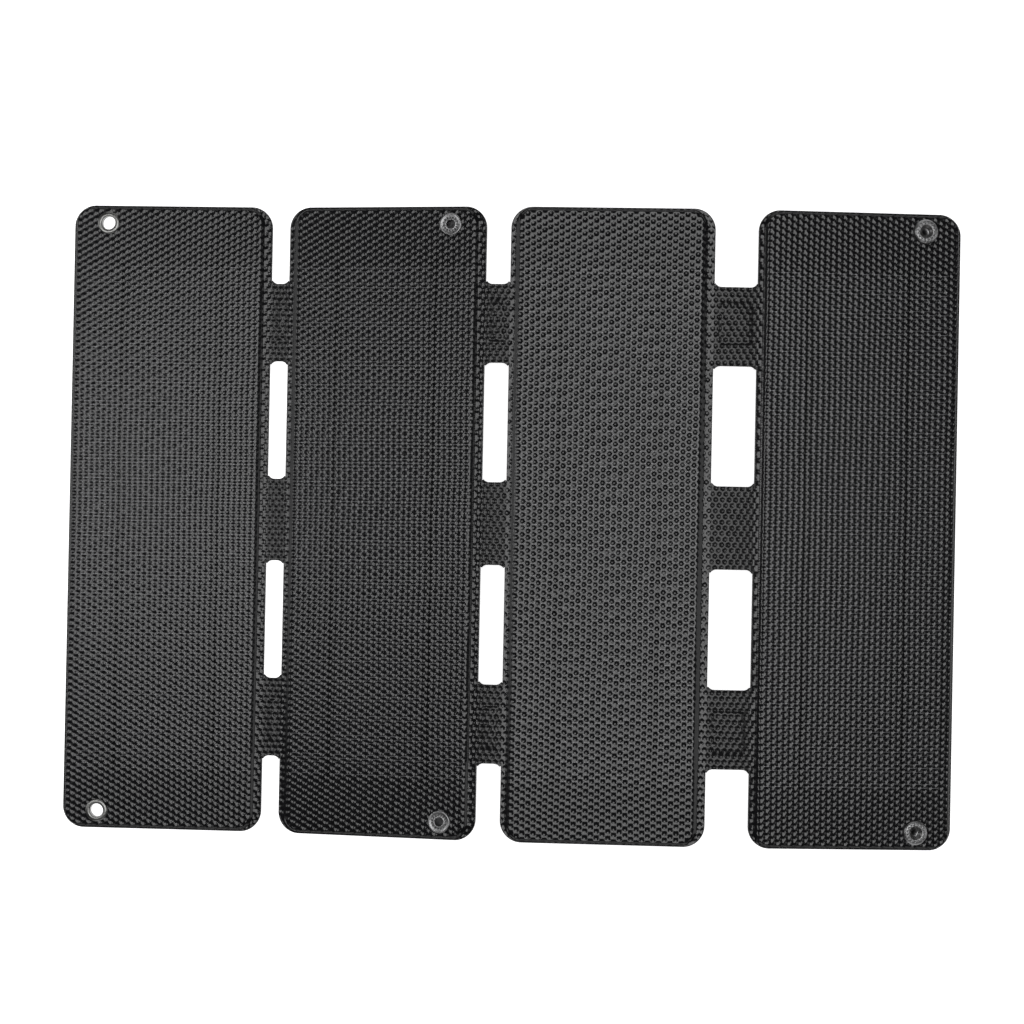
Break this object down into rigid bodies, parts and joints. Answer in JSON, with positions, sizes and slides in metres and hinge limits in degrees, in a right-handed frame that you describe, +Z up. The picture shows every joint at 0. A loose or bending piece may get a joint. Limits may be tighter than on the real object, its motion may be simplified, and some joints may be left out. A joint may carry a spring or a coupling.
{
  "type": "folding solar panel",
  "caption": "Four-leaf roll-folding portable solar panel with flexible webs, eyelets, snap fasteners and a charging box at the back.",
  "frame": {"origin": "on the ground under the middle of the opened panel's bounding box", "axes": "+X across the four leaves from the eyelet leaf to the snap leaf, +Y along the leaves, +Z up from the solar faces"},
  "size_m": [0.5484, 0.388, 0.0208],
  "materials": {
    "front_film": "embossed matte black fluoropolymer film",
    "back_sheet": "woven-look black polyester laminate",
    "stiffener_board": "glass-fibre board",
    "solar_cell": "dark silicon cell with fine grid fingers",
    "bus_ribbon": "tinned copper ribbon",
    "sealant": "clear cured sealant over black board",
    "web": "embossed flexible black laminate",
    "eyelet_metal": "nickel-plated brass",
    "snap_metal": "dark gunmetal plating",
    "spring_wire": "spring wire",
    "box_plastic": "fine-textured black moulding",
    "soft_rubber": "matte black rubber",
    "lens": "frosted clear light guide",
    "circuit_board": "green solder mask",
    "board_part": "moulded electronic parts",
    "port_shell": "stamped steel shell",
    "screw_steel": "black-oxide steel"
  },
  "bodies": {
    "panel_1": {"back_sheet_1": "back_sheet", "stiffener_board_1": "stiffener_board", "solar_cells_1": "solar_cell", "bus_ribbons_1": "bus_ribbon", "sealant_layer_1": "sealant", "front_film_1": "front_film", "web_1_left": "web", "web_conductors_1_left": "bus_ribbon", "eyelets": "eyelet_metal", "eyelet_washers": "eyelet_metal"},
    "panel_2": {"back_sheet_2": "back_sheet", "stiffener_board_2": "stiffener_board", "solar_cells_2": "solar_cell", "bus_ribbons_2": "bus_ribbon", "sealant_layer_2": "sealant", "front_film_2": "front_film", "web_1_right": "web", "web_conductors_1_right": "bus_ribbon", "web_2_left": "web", "web_conductors_2_left": "bus_ribbon", "post_caps": "snap_metal", "snap_studs": "snap_metal"},
    "panel_3": {"back_sheet_3": "back_sheet", "stiffener_board_3": "stiffener_board", "solar_cells_3": "solar_cell", "bus_ribbons_3": "bus_ribbon", "sealant_layer_3": "sealant", "front_film_3": "front_film", "web_2_right": "web", "web_conductors_2_right": "bus_ribbon", "web_3_left": "web", "web_conductors_3_left": "bus_ribbon", "box_base": "box_plastic", "box_gasket": "soft_rubber", "box_cover": "box_plastic", "indicator_lens": "lens", "circuit_board": "circuit_board", "board_parts": "board_part", "usb_a_ports": "port_shell", "usb_c_port": "port_shell", "flap_pin": "screw_steel", "cover_screws": "screw_steel", "box_feet": "soft_rubber"},
    "panel_4": {"back_sheet_4": "back_sheet", "stiffener_board_4": "stiffener_board", "solar_cells_4": "solar_cell", "bus_ribbons_4": "bus_ribbon", "sealant_layer_4": "sealant", "front_film_4": "front_film", "web_3_right": "web", "web_conductors_3_right": "bus_ribbon", "snap_sockets": "snap_metal", "snap_springs": "spring_wire", "socket_caps": "snap_metal"},
    "flap": {"port_flap": "soft_rubber"}
  },
  "joints": [
    {"name": "hinge_1", "type": "hinge", "parent": "panel_2", "child": "panel_1", "pos_m": [-0.14435, 0, 0.0052], "axis": [0, 1, 0], "range_deg": [0, 172.9]},
    {"name": "hinge_2", "type": "hinge", "parent": "panel_3", "child": "panel_2", "pos_m": [-0.00796, 0, 0.02425], "axis": [0, 1, 0], "range_deg": [0, 187]},
    {"name": "hinge_3", "type": "hinge", "parent": "panel_3", "child": "panel_4", "pos_m": [0.13809, 0, 0.02785], "axis": [0, -1, 0], "range_deg": [0, 187]},
    {"name": "flap_hinge", "type": "hinge", "parent": "panel_3", "child": "flap", "pos_m": [0.09484, -0.06355, 0.0075], "axis": [0, 0, 1], "range_deg": [0, 110]}
  ]
}
